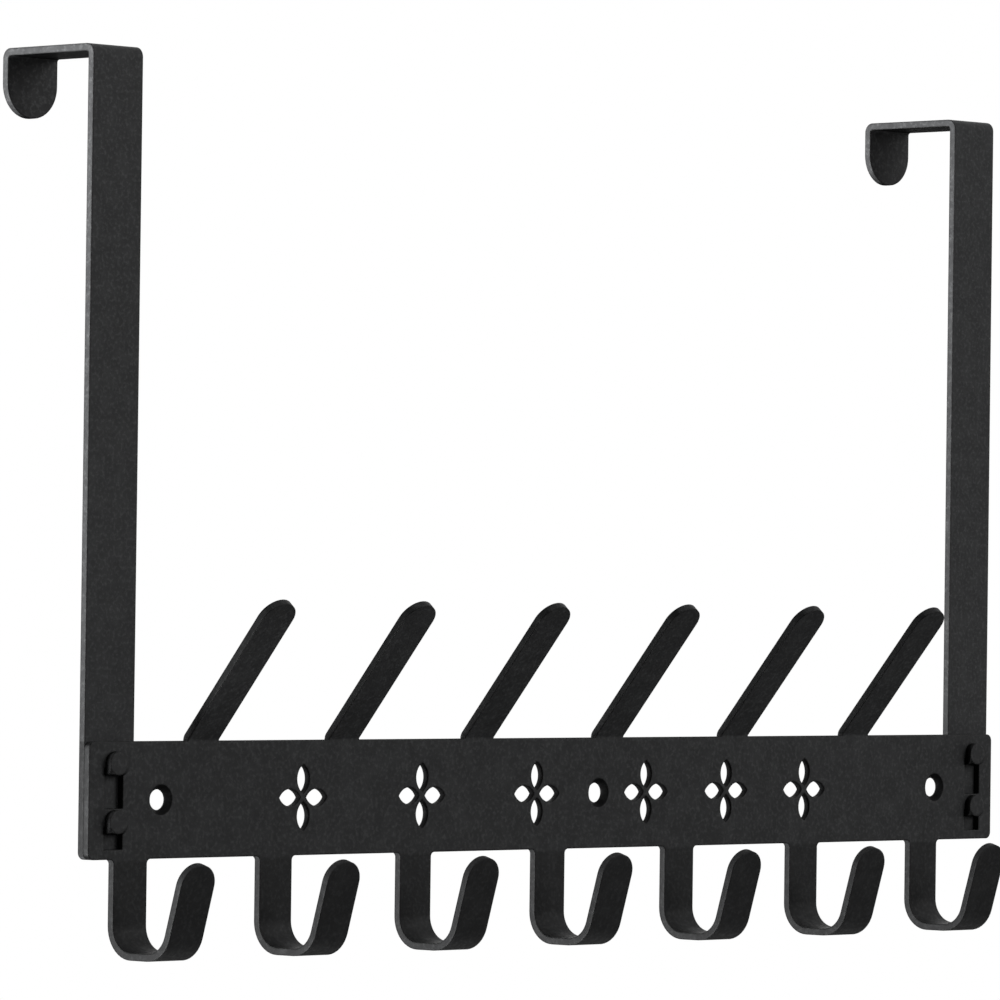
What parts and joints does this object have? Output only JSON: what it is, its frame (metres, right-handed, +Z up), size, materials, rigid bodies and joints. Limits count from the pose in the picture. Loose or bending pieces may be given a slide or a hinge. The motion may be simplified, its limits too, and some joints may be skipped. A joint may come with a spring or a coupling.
{
  "type": "over door hook rack",
  "caption": "Over-door rack of black coated sheet steel: a pierced bar with round hooks below and slanting prongs above, carried by two straps bent over the door.",
  "frame": {"origin": "on the back face of the hook bar, half way between its two outer screw holes", "axes": "+X along the bar to the right as seen from the front, -Y out of the front, +Z up"},
  "size_m": [0.466, 0.0871, 0.3059],
  "materials": {
    "bar_coat": "fine textured matt powder coat",
    "strap_coat": "fine textured matt powder coat"
  },
  "bodies": {
    "root": {"hook_bar": "bar_coat", "left_strap": "strap_coat", "right_strap": "strap_coat"}
  },
  "joints": []
}
